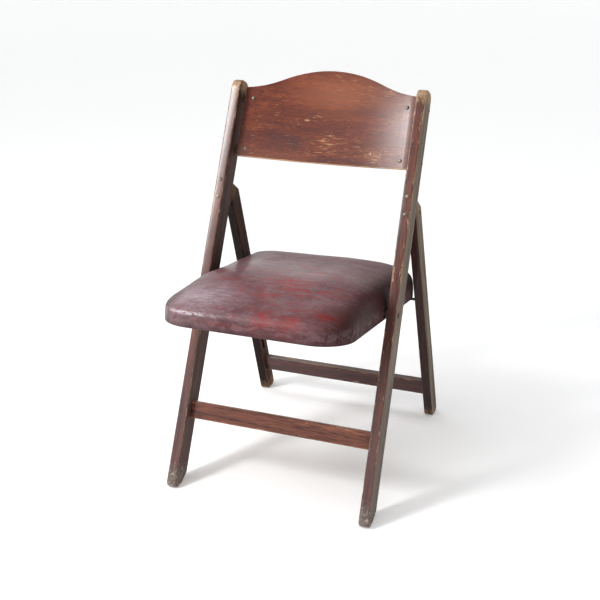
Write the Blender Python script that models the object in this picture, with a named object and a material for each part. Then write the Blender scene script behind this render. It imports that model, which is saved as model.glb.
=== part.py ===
"""Wooden A-frame folding chair with a padded seat, modelled fully open.

Units are metres and +Z is up. The sitter faces -Y, and left and right are the sitter's own, so left is +X.
The origin is on the floor, under the middle of the chair's bounding box.

Three sets of pieces move as one each, and each set hangs from an empty on its own axis:
    post_axes    lies along the posts: X across, Y from the posts' front face backwards, Z up the posts
    leg_axes     sits on the rear legs' hinge pins, with Y backwards and Z up the legs
    seat_axes    sits on the seat's pivot bolts, with Y backwards and Z square to the seat
The rear legs turn on the hinge pins, the seat turns on the pivot bolts, and the ends of the seat's rear rod
slide down the grooves in the rear legs as the chair folds.
"""

import math

import bmesh
import bpy
from mathutils import Matrix, Vector

GAP = 0.0003  # clearance between pieces that touch
OVERRUN = 0.010  # how far a cutter reaches past the faces it opens

# Where the frames stand
POST_LEAN = math.radians(26.0)
LEG_LEAN = math.radians(18.0)
SEAT_SLOPE = math.radians(9.0)
FOOT_Y = -0.2430  # where the posts' front face meets the floor
INNER_FACE = 0.204  # from the chair's middle to the posts and rear legs
TIMBER_WIDTH = 0.0215  # of posts and rear legs, across the chair

# Posts, in post_axes
POST_LENGTH = 0.912
POST_DEPTH = 0.050
POST_TOP_RADIUS = 0.019
POST_TOE_RADIUS = 0.012
POST_HEEL_RADII = (0.004, 0.003)
POST_SOLE_END = 0.032
POST_HEEL_HEIGHT = 0.0365
POST_ROUNDING = 0.0035

# Rear legs, in leg_axes
HINGE_UP_POST = 0.658
HINGE_BACK = 0.076
LEG_FRONT = -0.022
LEG_REAR = 0.016
LEG_FOOT_RADII = (0.009, 0.010)
LEG_PEAK_Y = -0.004
LEG_CHAMFER_Z = 0.006
LEG_TOP_RADII = (0.004, 0.003, 0.008)
LEG_ROUNDING = 0.0028
KERF_WIDTH = 0.0035
KERF_REAR = 0.0112
KERF_BOTTOM = -0.0185
GROOVE_Y = -0.006
GROOVE_RADIUS = 0.0045
GROOVE_DEPTH = 0.008
GROOVE_TOP = -0.2379
GROOVE_FOOT = -0.4575

# Stretchers
STRETCHER_THICKNESS = 0.013
STRETCHER_EASE = 0.0015
MORTISE_DEPTH = 0.009
FRONT_STRETCHER = {"y": 0.025, "z": 0.1735, "height": 0.037}
REAR_STRETCHER = {"y": -0.0035, "z": -0.5036, "height": 0.041}

# Back panel, in post_axes
PANEL_HALF_WIDTH = 0.199
PANEL_THICKNESS = 0.007
PANEL_BOTTOM = 0.7385
PANEL_CREST = 0.951
PANEL_END_Y = 0.027
PANEL_BOW = 0.014
PANEL_ROUNDING = 0.0018
PANEL_COLUMNS = 28
CROWN_RADIUS = 0.250
SHOULDER_START = 0.118
SHOULDER_RADIUS = 0.220
PANEL_RIVET_X = 0.180
PANEL_RIVET_HEIGHTS = {"upper": 0.8742, "lower": 0.7570}

# Corner brackets that hold the panel to the posts
BRACKET_THICKNESS = 0.0018
BRACKET_HEIGHT = 0.016
BRACKET_REAR_Y = 0.0492
BRACKET_TOE = 0.008

# Hinge plates on the posts' rear faces
PLATE_THICKNESS = 0.0020
PLATE_WIDTH = 0.0170
PLATE_HALF_HEIGHT = 0.031
WEB_THICKNESS = 0.0026
WEB_HALF_BASE = 0.017
WEB_NOSE = 0.0095
WEB_NOSE_RADIUS = 0.0093
HINGE_RIVET_OFFSET = 0.0191

# Rivets and screws: a domed head, a shank and, on some, a spread tail
PANEL_RIVET = {"head": 0.0045, "dome": 0.0024, "shank": 0.0020, "tail": 0.0034, "tail_height": 0.0012}
POST_RIVET = {"head": 0.0042, "dome": 0.0010, "shank": 0.0020, "tail": 0.0032, "tail_height": 0.0010}
HINGE_RIVET = {"head": 0.0045, "dome": 0.0022, "shank": 0.0025, "tail": 0.0, "tail_height": 0.0}
HINGE_PIN = {"head": 0.0048, "dome": 0.0011, "shank": 0.0029, "tail": 0.0044, "tail_height": 0.0009}
CLIP_SCREW = {"head": 0.0032, "dome": 0.0018, "shank": 0.0016, "tail": 0.0, "tail_height": 0.0}
CLIP_SCREW_LENGTH = 0.0145
TAIL_CROWN = 0.8
SLOT_WIDTH = 0.0011
SLOT_DEPTH = 0.0010

# Seat, in seat_axes
PIVOT_UP_POST = 0.431
PIVOT_BACK = 0.0135
FRAME_HALF_WIDTH = 0.1965
FRAME_FRONT = -0.268
FRAME_REAR = 0.2355
FRAME_BOTTOM = -0.0115
FRAME_TOP = 0.0105
FRAME_ROUNDING = 0.001
FRONT_CORNER_RADIUS = 0.073
REAR_CORNER_RADIUS = 0.024
FRONT_CORNER_SHRINK = 0.5  # how much of an inset the front corners' radius loses
REAR_CORNER_SHRINK = 0.1
FRONT_RAIL_DEPTH = 0.082
REAR_RAIL_DEPTH = 0.056
SIDE_RAIL_WIDTH = 0.042
DECK_INSET = 0.001
DECK_THICKNESS = 0.004
# Rings of the cushion from foot to crown: in from the seat frame's edge, and up from its foot
CUSHION_RINGS = (
    (-0.001, 0.000),
    (-0.001, 0.022),
    (0.001, 0.031),
    (0.005, 0.037),
    (0.011, 0.041),
    (0.023, 0.046),
    (0.038, 0.051),
    (0.062, 0.055),
    (0.094, 0.058),
)
CUSHION_THIN_FRONT = 0.36  # the cushion's thickness at its front edge, as a share of its full thickness
CUSHION_SLUMP = 0.220  # how far back the cushion reaches its full thickness
CUSHION_SIDE_STEPS = 10

# Pivot bolts and the spacers on them
BOLT_RADIUS = 0.0032
BOLT_HEAD_RADIUS = 0.0062
BOLT_HEAD_THICKNESS = 0.0026
BOLT_HEAD_CHAMFER = 0.0008
BOLT_SINK = 0.0034
BOLT_REACH = 0.026
SPACER_RADIUS = 0.0080
SPACER_INNER_X = 0.1993

# Rear rod, and the looped clips that hold it under the seat
ROD_REACH = 0.229
ROD_DROP = math.radians(3.8)
ROD_RADIUS = 0.003175
ROD_HALF_LENGTH = 0.2105
ROD_CHAMFER = 0.0008
CLIP_X = 0.150
CLIP_WIDTH = 0.014
CLIP_THICKNESS = 0.0015
CLIP_LENGTH = 0.032  # of its flange, forwards from the rod
CLIP_SCREW_OFFSETS = {"front": -0.0245, "rear": -0.0115}

# How finely curves are faceted
ARC_STEPS = 6
DOME_STEPS = 4
STRAP_STEPS = 10
RIVET_SIDES = 16
ROUND_SIDES = 24

SIDES = {"left": 1, "right": -1}
OUTER_FACE = INNER_FACE + TIMBER_WIDTH
TIMBER_MIDDLE = INNER_FACE + TIMBER_WIDTH / 2
QUARTER_TURN = math.pi / 2
HINGE_HEIGHT = HINGE_UP_POST * math.cos(POST_LEAN) - HINGE_BACK * math.sin(POST_LEAN)
ROD_Y = ROD_REACH * math.cos(ROD_DROP)
ROD_Z = -ROD_REACH * math.sin(ROD_DROP)

# Rotations that lay a turned piece's +Z along another axis
TO_FRONT = (QUARTER_TURN, 0.0, 0.0)
ALONG_X = (0.0, QUARTER_TURN, 0.0)
DOWN = (math.pi, 0.0, 0.0)


def outward(side):
    """Rotation that lays +Z along +X on the left and along -X on the right."""
    return (0.0, side * QUARTER_TURN, 0.0)


# Scene and materials


def clear_scene():
    for obj in list(bpy.data.objects):
        bpy.data.objects.remove(obj, do_unlink=True)


def make_material(name, colour, roughness, metallic=0.0):
    material = bpy.data.materials.new(name)
    material.use_nodes = True
    shader = material.node_tree.nodes["Principled BSDF"]
    shader.inputs["Base Color"].default_value = (*colour, 1.0)
    shader.inputs["Roughness"].default_value = roughness
    shader.inputs["Metallic"].default_value = metallic
    return material


def make_axes(name, y, z, turn):
    """An empty at (0, y, z), turned about X, that carries the pieces of one set."""
    empty = bpy.data.objects.new(name, None)
    empty.location = (0.0, y, z)
    empty.rotation_euler = (turn, 0.0, 0.0)
    bpy.context.scene.collection.objects.link(empty)
    return empty


def add_object(name, bm, parent, material=None, location=(0, 0, 0), rotation=(0, 0, 0)):
    bmesh.ops.recalc_face_normals(bm, faces=bm.faces)
    mesh = bpy.data.meshes.new(name)
    bm.to_mesh(mesh)
    bm.free()
    mesh.shade_smooth()
    mesh.set_sharp_from_angle(angle=math.radians(35))
    if material:
        mesh.materials.append(material)
    obj = bpy.data.objects.new(name, mesh)
    obj.location = location
    obj.rotation_euler = rotation
    obj.parent = parent
    bpy.context.scene.collection.objects.link(obj)
    return obj


# Shapes


def rounded_outline(corners):
    """Points of a closed outline whose corners (u, v, radius) are replaced by tangent arcs."""
    points = []
    count = len(corners)
    for index, (u, v, radius) in enumerate(corners):
        corner = Vector((u, v))
        if radius == 0:
            points.append((u, v))
            continue
        before = (Vector(corners[index - 1][:2]) - corner).normalized()
        after = (Vector(corners[(index + 1) % count][:2]) - corner).normalized()
        half_angle = before.angle(after) / 2
        centre = corner + (before + after).normalized() * (radius / math.sin(half_angle))
        reach = radius / math.tan(half_angle)
        start = corner + before * reach - centre
        end = corner + after * reach - centre
        sweep = start.angle_signed(end)
        for step in range(ARC_STEPS + 1):
            spoke = Matrix.Rotation(-sweep * step / ARC_STEPS, 2) @ start
            points.append(tuple(centre + spoke))
    return points


def join_rings(bm, rings):
    """Joins each ring of points to the next."""
    count = len(rings[0])
    for lower, upper in zip(rings, rings[1:]):
        for index in range(count):
            following = (index + 1) % count
            bm.faces.new((lower[index], lower[following], upper[following], upper[index]))


def close_rings(bm, rings):
    """Joins each ring to the next, and caps the first and the last."""
    join_rings(bm, rings)
    bm.faces.new(rings[0])
    bm.faces.new(rings[-1])


def prism(outline, low, high, axis="X"):
    """A solid extruded along one axis. The outline's two numbers lie on the other two axes, in order."""
    bm = bmesh.new()
    rings = []
    for level in (low, high):
        if axis == "X":
            points = [(level, u, v) for u, v in outline]
        else:
            points = [(u, v, level) for u, v in outline]
        rings.append([bm.verts.new(point) for point in points])
    close_rings(bm, rings)
    return bm


def box(x, y, z):
    """A box between the two numbers given for each axis."""
    outline = [(y[0], z[0]), (y[1], z[0]), (y[1], z[1]), (y[0], z[1])]
    return prism(outline, x[0], x[1])


def turned(profile, sides):
    """A solid turned about Z from (radius, height) points that start and end on the axis."""
    bm = bmesh.new()
    rings = []
    for radius, height in profile:
        if radius == 0:
            rings.append([bm.verts.new((0.0, 0.0, height))])
            continue
        angles = [math.tau * step / sides for step in range(sides)]
        rings.append([bm.verts.new((radius * math.cos(a), radius * math.sin(a), height)) for a in angles])
    for lower, upper in zip(rings, rings[1:]):
        for step in range(sides):
            following = (step + 1) % sides
            corners = [lower[step % len(lower)], lower[following % len(lower)]]
            corners += [upper[following % len(upper)], upper[step % len(upper)]]
            bm.faces.new(list(dict.fromkeys(corners)))
    return bm


def rivet_shape(kind, length):
    """A rivet whose domed head stands on Z = 0 and whose shank runs down this far, to its tail."""
    head = kind["head"]
    shank = kind["shank"]
    profile = []
    for step in range(DOME_STEPS):
        angle = QUARTER_TURN * step / DOME_STEPS
        profile.append((head * math.sin(angle), kind["dome"] * math.cos(angle)))
    profile += [(head, 0.0), (shank, 0.0), (shank, -length)]
    end = -length - kind["tail_height"]
    if kind["tail"] > shank:
        profile += [(kind["tail"], -length), (kind["tail"] * TAIL_CROWN, end)]
    return turned(profile + [(0.0, end)], RIVET_SIDES)


def bore_shape(radius, length, sides=RIVET_SIDES):
    """A cylinder centred on the origin, to drill with."""
    half = length / 2
    return turned([(0.0, half), (radius, half), (radius, -half), (0.0, -half)], sides)


def round_edges(obj, width, segments):
    bevel = obj.modifiers.new("Round edges", "BEVEL")
    bevel.width = width
    bevel.segments = segments
    bevel.limit_method = "ANGLE"
    bevel.angle_limit = math.radians(40)


def combine(target, operation, bm, parent, location=(0, 0, 0), rotation=(0, 0, 0)):
    """Cuts this shape from the target or adds it. The shape stays in the file, unrendered."""
    other = add_object("shape_for_" + target.name, bm, parent, None, location, rotation)
    other.hide_render = True
    other.display_type = "WIRE"
    boolean = target.modifiers.new("Boolean", "BOOLEAN")
    boolean.operation = operation
    boolean.object = other


def cut(target, bm, parent, location=(0, 0, 0), rotation=(0, 0, 0)):
    combine(target, "DIFFERENCE", bm, parent, location, rotation)


# Curves of the back panel


def panel_front(x):
    """How far behind the posts' front face the panel's front surface lies."""
    return PANEL_END_Y + PANEL_BOW * (1 - (x / PANEL_HALF_WIDTH) ** 2)


def panel_tilt(x):
    """Angle between the panel's surface and X at this place."""
    return math.atan(2 * PANEL_BOW * x / PANEL_HALF_WIDTH**2)


def panel_top(x):
    """Height of the camel-back top edge: a crowned middle that runs out into shallow shoulders."""
    reach = min(abs(x), SHOULDER_START)
    past = abs(x) - reach
    slope = reach / CROWN_RADIUS
    return PANEL_CREST - reach * slope / 2 - past * slope + past**2 / (2 * SHOULDER_RADIUS)


# Front frame


def add_post(side_name, side, axes, wood):
    corners = [
        (0.0, 0.0, POST_TOE_RADIUS),
        (POST_SOLE_END, POST_SOLE_END * math.tan(POST_LEAN), POST_HEEL_RADII[0]),
        (POST_DEPTH, POST_HEEL_HEIGHT, POST_HEEL_RADII[1]),
        (POST_DEPTH, POST_LENGTH, POST_TOP_RADIUS),
        (0.0, POST_LENGTH, POST_TOP_RADIUS),
    ]
    half = TIMBER_WIDTH / 2
    middle = side * TIMBER_MIDDLE
    shape = prism(rounded_outline(corners), -half, half)
    post = add_object(side_name + "_post", shape, axes, wood, (middle, 0, 0))
    round_edges(post, POST_ROUNDING, 3)
    recess_y = (POST_DEPTH - PLATE_THICKNESS - 2 * GAP, POST_DEPTH + OVERRUN)
    across = PLATE_WIDTH / 2 + GAP
    up = PLATE_HALF_HEIGHT + GAP
    cut(post, box((-across, across), recess_y, (-up, up)), axes, (middle, 0, HINGE_UP_POST))
    for offset in (-HINGE_RIVET_OFFSET, HINGE_RIVET_OFFSET):
        hole = bore_shape(HINGE_RIVET["shank"] + GAP, 3 * POST_DEPTH)
        cut(post, hole, axes, (middle, 0, HINGE_UP_POST + offset), TO_FRONT)
    for height in PANEL_RIVET_HEIGHTS.values():
        hole = bore_shape(POST_RIVET["shank"] + GAP, 3 * TIMBER_WIDTH)
        cut(post, hole, axes, (middle, bracket_rivet_y(), height), ALONG_X)
    pivot = (side * OUTER_FACE, PIVOT_BACK, PIVOT_UP_POST)
    cut(post, pivot_bore(), axes, pivot, outward(side))
    cut_mortise(post, side, axes, FRONT_STRETCHER)


def pivot_bore():
    """A bore for the pivot bolt with a wider counterbore for its head. The outer face is at Z = 0."""
    bore = BOLT_RADIUS + GAP
    wide = BOLT_HEAD_RADIUS + GAP
    profile = [(0.0, BOLT_SINK), (wide, BOLT_SINK), (wide, -BOLT_SINK), (bore, -BOLT_SINK)]
    profile += [(bore, -2 * TIMBER_WIDTH), (0.0, -2 * TIMBER_WIDTH)]
    return turned(profile, ROUND_SIDES)


def stretcher_section(place, growth=0.0):
    """Outline of a stretcher seen from its end, with eased edges."""
    thick = STRETCHER_THICKNESS / 2 + growth
    tall = place["height"] / 2 + growth
    ease = STRETCHER_EASE + growth
    low, high = place["z"] - tall, place["z"] + tall
    near, far = place["y"] - thick, place["y"] + thick
    return rounded_outline([(near, low, ease), (far, low, ease), (far, high, ease), (near, high, ease)])


def cut_mortise(timber, side, axes, place):
    """A blind mortise in the inner face, which the end of the stretcher fills."""
    across = sorted((side * (INNER_FACE - OVERRUN), side * (INNER_FACE + MORTISE_DEPTH + GAP)))
    cut(timber, prism(stretcher_section(place, GAP), *across), axes)


def add_stretcher(name, axes, wood, place):
    """A flat rail whose ends are let into both timbers."""
    reach = INNER_FACE + MORTISE_DEPTH
    add_object(name, prism(stretcher_section(place), -reach, reach), axes, wood)


def add_back_panel(axes, plywood):
    bm = bmesh.new()
    sections = []
    for index in range(PANEL_COLUMNS + 1):
        x = PANEL_HALF_WIDTH * (2 * index / PANEL_COLUMNS - 1)
        tilt = panel_tilt(x)
        front = Vector((x, panel_front(x), 0.0))
        back = front + PANEL_THICKNESS * Vector((math.sin(tilt), math.cos(tilt), 0.0))
        top = Vector((0.0, 0.0, panel_top(x)))
        bottom = Vector((0.0, 0.0, PANEL_BOTTOM))
        corners = (front + bottom, front + top, back + top, back + bottom)
        sections.append([bm.verts.new(corner) for corner in corners])
    close_rings(bm, sections)
    panel = add_object("back_panel", bm, axes, plywood)
    round_edges(panel, PANEL_ROUNDING, 2)
    for side in SIDES.values():
        for height in PANEL_RIVET_HEIGHTS.values():
            x = side * PANEL_RIVET_X
            hole = bore_shape(PANEL_RIVET["shank"] + GAP, POST_DEPTH)
            cut(panel, hole, axes, (x, panel_front(x), height), (QUARTER_TURN, 0.0, -panel_tilt(x)))


def bracket_outline():
    """The left bracket seen along the posts: one leg behind the panel, the other on the post's inner face."""
    tilt = panel_tilt(PANEL_RIVET_X)
    along = Vector((math.cos(tilt), -math.sin(tilt)))
    normal = Vector((math.sin(tilt), math.cos(tilt)))
    front = Vector((PANEL_RIVET_X, panel_front(PANEL_RIVET_X))) + normal * (PANEL_THICKNESS + GAP)
    rear = front + normal * BRACKET_THICKNESS
    toe = along * -BRACKET_TOE
    wall = INNER_FACE - GAP
    inside = wall - BRACKET_THICKNESS
    front_corner = front + along * ((wall - front.x) / along.x)
    rear_corner = rear + along * ((inside - rear.x) / along.x)
    points = [front + toe, front_corner, Vector((wall, BRACKET_REAR_Y))]
    points += [Vector((inside, BRACKET_REAR_Y)), rear_corner, rear + toe]
    return [tuple(point) for point in points]


def bracket_rivet_y():
    """Where the post rivet goes through the bracket: midway along its leg, behind the panel."""
    inner_corner_y = bracket_outline()[4][1]
    return (inner_corner_y + BRACKET_REAR_Y) / 2


def add_panel_fixing(tag, side, height, axes, steel):
    """A corner bracket, the rivet through it and the panel, and the rivet through it and the post."""
    outline = [(side * x, y) for x, y in bracket_outline()]
    half = BRACKET_HEIGHT / 2
    shape = prism(outline, -half, half, "Z")
    bracket = add_object(tag + "_panel_bracket", shape, axes, steel, (0, 0, height))
    x = side * PANEL_RIVET_X
    tilt = panel_tilt(x)
    facing = (QUARTER_TURN, 0.0, -tilt)
    panel_spot = Vector((x, panel_front(x), height))
    cut(bracket, bore_shape(PANEL_RIVET["shank"] + GAP, POST_DEPTH), axes, panel_spot, facing)
    wall_spot = (side * INNER_FACE, bracket_rivet_y(), height)
    cut(bracket, bore_shape(POST_RIVET["shank"] + GAP, POST_DEPTH / 2), axes, wall_spot, ALONG_X)
    forward = GAP * Vector((-math.sin(tilt), -math.cos(tilt), 0.0))
    shape = rivet_shape(PANEL_RIVET, PANEL_THICKNESS + BRACKET_THICKNESS + 3 * GAP)
    add_object(tag + "_panel_rivet", shape, axes, steel, panel_spot + forward, facing)
    shape = rivet_shape(POST_RIVET, TIMBER_WIDTH + BRACKET_THICKNESS + 3 * GAP)
    head_spot = (side * (OUTER_FACE + GAP), bracket_rivet_y(), height)
    add_object(tag + "_post_rivet", shape, axes, steel, head_spot, outward(side))


def add_hinge_plate(side_name, side, axes, steel):
    """A plate let into the post's rear face, with a web that reaches into the rear leg's kerf."""
    rear = POST_DEPTH - GAP
    front = rear - PLATE_THICKNESS
    half = PLATE_WIDTH / 2
    shape = box((-half, half), (front, rear), (-PLATE_HALF_HEIGHT, PLATE_HALF_HEIGHT))
    middle = side * TIMBER_MIDDLE
    place = (middle, 0, HINGE_UP_POST)
    plate = add_object(side_name + "_hinge_plate", shape, axes, steel, place)
    root = front + PLATE_THICKNESS / 2
    nose = HINGE_BACK + WEB_NOSE
    corners = [
        (root, -WEB_HALF_BASE, 0),
        (nose, -WEB_NOSE, WEB_NOSE_RADIUS),
        (nose, WEB_NOSE, WEB_NOSE_RADIUS),
        (root, WEB_HALF_BASE, 0),
    ]
    half = WEB_THICKNESS / 2
    combine(plate, "UNION", prism(rounded_outline(corners), -half, half), axes, place)
    pin_bore = bore_shape(HINGE_PIN["shank"] + GAP, TIMBER_WIDTH)
    cut(plate, pin_bore, axes, (middle, HINGE_BACK, HINGE_UP_POST), ALONG_X)
    for offset in (-HINGE_RIVET_OFFSET, HINGE_RIVET_OFFSET):
        hole = bore_shape(HINGE_RIVET["shank"] + GAP, 3 * POST_DEPTH)
        cut(plate, hole, axes, (middle, 0, HINGE_UP_POST + offset), TO_FRONT)


def add_hinge_rivets(side_name, side, axes, steel):
    for level, offset in (("lower", -HINGE_RIVET_OFFSET), ("upper", HINGE_RIVET_OFFSET)):
        name = side_name + "_" + level + "_hinge_rivet"
        place = (side * TIMBER_MIDDLE, -GAP, HINGE_UP_POST + offset)
        add_object(name, rivet_shape(HINGE_RIVET, POST_DEPTH), axes, steel, place, TO_FRONT)


# Rear frame


def leg_floor_z(y):
    """Height along the rear leg of the point on the floor, this far behind the hinge pin."""
    return -(HINGE_HEIGHT + y * math.sin(LEG_LEAN)) / math.cos(LEG_LEAN)


def leg_bevel_z(y):
    """Height of the bevelled top that lies against the post's rear face while the chair is open."""
    opening = POST_LEAN + LEG_LEAN
    reach = HINGE_BACK - POST_DEPTH - GAP
    return (reach + y * math.cos(opening)) / math.sin(opening)


def add_rear_leg(side_name, side, axes, wood):
    corners = [
        (LEG_FRONT, leg_floor_z(LEG_FRONT), LEG_FOOT_RADII[0]),
        (LEG_REAR, leg_floor_z(LEG_REAR), LEG_FOOT_RADII[1]),
        (LEG_REAR, LEG_CHAMFER_Z, LEG_TOP_RADII[0]),
        (LEG_PEAK_Y, leg_bevel_z(LEG_PEAK_Y), LEG_TOP_RADII[1]),
        (LEG_FRONT, leg_bevel_z(LEG_FRONT), LEG_TOP_RADII[2]),
    ]
    half = TIMBER_WIDTH / 2
    middle = (side * TIMBER_MIDDLE, 0, 0)
    shape = prism(rounded_outline(corners), -half, half)
    leg = add_object(side_name + "_rear_leg", shape, axes, wood, middle)
    round_edges(leg, LEG_ROUNDING, 3)
    half = KERF_WIDTH / 2
    kerf = box((-half, half), (LEG_FRONT - OVERRUN, KERF_REAR), (KERF_BOTTOM, HINGE_BACK))
    cut(leg, kerf, axes, middle)
    cut(leg, bore_shape(HINGE_PIN["shank"] + GAP, 3 * TIMBER_WIDTH), axes, middle, ALONG_X)
    cut(leg, groove_shape(side), axes)
    cut_mortise(leg, side, axes, REAR_STRETCHER)


def groove_shape(side):
    """The blind, round-ended groove in the inner face that the rod's end slides in."""
    near, far = GROOVE_Y - GROOVE_RADIUS, GROOVE_Y + GROOVE_RADIUS
    low, high = GROOVE_FOOT, GROOVE_TOP + GROOVE_RADIUS
    end = GROOVE_RADIUS - GAP / 2
    outline = rounded_outline([(near, low, end), (far, low, end), (far, high, end), (near, high, end)])
    across = sorted((side * (INNER_FACE - OVERRUN), side * (INNER_FACE + GROOVE_DEPTH)))
    return prism(outline, *across)


def add_hinge_pin(side_name, side, axes, steel):
    place = (side * (OUTER_FACE + GAP), 0, 0)
    shape = rivet_shape(HINGE_PIN, TIMBER_WIDTH + 2 * GAP)
    add_object(side_name + "_hinge_pin", shape, axes, steel, place, outward(side))


# Seat


def seat_corners(inset):
    """Corners of the seat's plan at this inset, broad at the front and tighter at the rear."""
    half = FRAME_HALF_WIDTH - inset
    front = FRAME_FRONT + inset
    rear = FRAME_REAR - inset
    front_radius = FRONT_CORNER_RADIUS - inset * FRONT_CORNER_SHRINK
    rear_radius = REAR_CORNER_RADIUS - inset * REAR_CORNER_SHRINK
    return [
        (-half, front, front_radius),
        (half, front, front_radius),
        (half, rear, rear_radius),
        (-half, rear, rear_radius),
    ]


def add_seat_frame(axes, wood):
    """Front and rear rails across the seat, with a straight rail between them on each side."""
    front_joint = FRAME_FRONT + FRONT_RAIL_DEPTH
    rear_joint = FRAME_REAR - REAR_RAIL_DEPTH
    half = FRAME_HALF_WIDTH
    corners = seat_corners(0.0)
    front_plan = corners[:2] + [(half, front_joint, 0), (-half, front_joint, 0)]
    rear_plan = [(-half, rear_joint, 0), (half, rear_joint, 0)] + corners[2:]
    height = (FRAME_BOTTOM, FRAME_TOP)
    front_rail = add_object("seat_front_rail", prism(rounded_outline(front_plan), *height, "Z"), axes, wood)
    round_edges(front_rail, FRAME_ROUNDING, 1)
    rear_rail = add_object("seat_rear_rail", prism(rounded_outline(rear_plan), *height, "Z"), axes, wood)
    round_edges(rear_rail, FRAME_ROUNDING, 1)
    for side_name, side in SIDES.items():
        across = sorted((side * half, side * (half - SIDE_RAIL_WIDTH)))
        shape = box(across, (front_joint + GAP, rear_joint - GAP), height)
        rail = add_object(side_name + "_seat_rail", shape, axes, wood)
        bore = bore_shape(BOLT_RADIUS + GAP, 2 * (BOLT_REACH + GAP), ROUND_SIDES)
        cut(rail, bore, axes, (side * half, 0, 0), ALONG_X)
        for offset in CLIP_SCREW_OFFSETS.values():
            hole = bore_shape(CLIP_SCREW["shank"] + GAP, 2 * CLIP_SCREW_LENGTH)
            cut(rear_rail, hole, axes, (side * CLIP_X, ROD_Y + offset, FRAME_BOTTOM))


def add_seat_deck(axes, wood):
    bottom = FRAME_TOP + GAP
    shape = prism(rounded_outline(seat_corners(DECK_INSET)), bottom, bottom + DECK_THICKNESS, "Z")
    add_object("seat_deck", shape, axes, wood)


def cushion_share(y):
    """The cushion's thickness this far back, as a share of its full thickness."""
    t = min(max((y - FRAME_FRONT) / CUSHION_SLUMP, 0.0), 1.0)
    return CUSHION_THIN_FRONT + (1 - CUSHION_THIN_FRONT) * t * t * (3 - 2 * t)


def cushion_outline(inset):
    """The seat's outline from the front round and back, its straight sides split so that they can bend."""
    arcs = rounded_outline(seat_corners(inset))
    half = len(arcs) // 2
    corner = half // 2
    steps = [step / CUSHION_SIDE_STEPS for step in range(1, CUSHION_SIDE_STEPS)]
    front, rear = Vector(arcs[half - 1]), Vector(arcs[half])
    side = [tuple(front.lerp(rear, step)) for step in steps]
    right = arcs[corner:half] + side + arcs[half:half + corner]
    left = [(-x, y) for x, y in reversed(right)]
    return right + left


def add_cushion(axes, leather):
    """A plain crowned pad, thinner at the front: rings that step in and up, capped by strips across."""
    bm = bmesh.new()
    foot = FRAME_TOP + DECK_THICKNESS + 2 * GAP
    rings = []
    for inset, rise in CUSHION_RINGS:
        outline = cushion_outline(inset)
        rings.append([bm.verts.new((x, y, foot + rise * cushion_share(y))) for x, y in outline])
    join_rings(bm, rings)
    bm.faces.new(rings[0])
    top = rings[-1]
    for index in range(len(top) // 2 - 1):
        bm.faces.new((top[index], top[index + 1], top[-2 - index], top[-1 - index]))
    add_object("seat_cushion", bm, axes, leather)


def add_pivot_bolt(side_name, side, axes, steel):
    """The slotted bolt that the seat turns on, its head sunk in the post's counterbore."""
    under_head = OUTER_FACE - BOLT_SINK + GAP
    length = under_head - (FRAME_HALF_WIDTH - BOLT_REACH)
    face = BOLT_HEAD_RADIUS - BOLT_HEAD_CHAMFER
    top = BOLT_HEAD_THICKNESS
    profile = [(0.0, top), (face, top), (BOLT_HEAD_RADIUS, top - BOLT_HEAD_CHAMFER), (BOLT_HEAD_RADIUS, 0.0)]
    profile += [(BOLT_RADIUS, 0.0), (BOLT_RADIUS, -length), (0.0, -length)]
    shape = turned(profile, ROUND_SIDES)
    bolt = add_object(side_name + "_pivot_bolt", shape, axes, steel, (side * under_head, 0, 0), outward(side))
    across = sorted((side * (under_head + top - SLOT_DEPTH), side * (OUTER_FACE + OVERRUN)))
    half = SLOT_WIDTH / 2
    cut(bolt, box(across, (-half, half), (-OVERRUN, OVERRUN)), axes)


def add_pivot_spacer(side_name, side, axes, steel):
    """The thick washer that keeps the seat off the post."""
    bore = BOLT_RADIUS + GAP
    thickness = INNER_FACE - GAP - SPACER_INNER_X
    disc = turned([(0, thickness), (SPACER_RADIUS, thickness), (SPACER_RADIUS, 0), (0, 0)], ROUND_SIDES)
    place = (side * SPACER_INNER_X, 0, 0)
    spacer = add_object(side_name + "_pivot_spacer", disc, axes, steel, place, outward(side))
    cut(spacer, bore_shape(bore, TIMBER_WIDTH, ROUND_SIDES), axes, place, ALONG_X)


def add_rear_rod(axes, steel):
    end = ROD_HALF_LENGTH
    tip = ROD_RADIUS - ROD_CHAMFER
    profile = [(0.0, end), (tip, end), (ROD_RADIUS, end - ROD_CHAMFER)]
    profile += [(radius, -height) for radius, height in reversed(profile)]
    add_object("rear_rod", turned(profile, ROUND_SIDES), axes, steel, (0, ROD_Y, ROD_Z), ALONG_X)


def clip_outline():
    """A clip seen from the side, round the rod's centre: a flange in front and a loop under the rod."""
    inner = ROD_RADIUS + GAP
    outer = inner + CLIP_THICKNESS
    top = FRAME_BOTTOM - GAP - ROD_Z
    under = top - CLIP_THICKNESS
    angles = [math.pi + math.pi * step / STRAP_STEPS for step in range(STRAP_STEPS + 1)]
    points = [(-CLIP_LENGTH, top), (-inner, top)]
    points += [(inner * math.cos(a), inner * math.sin(a)) for a in angles]
    points += [(inner, top), (outer, top)]
    points += [(outer * math.cos(a), outer * math.sin(a)) for a in reversed(angles)]
    points += [(-outer, under), (-CLIP_LENGTH, under)]
    return points


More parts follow.
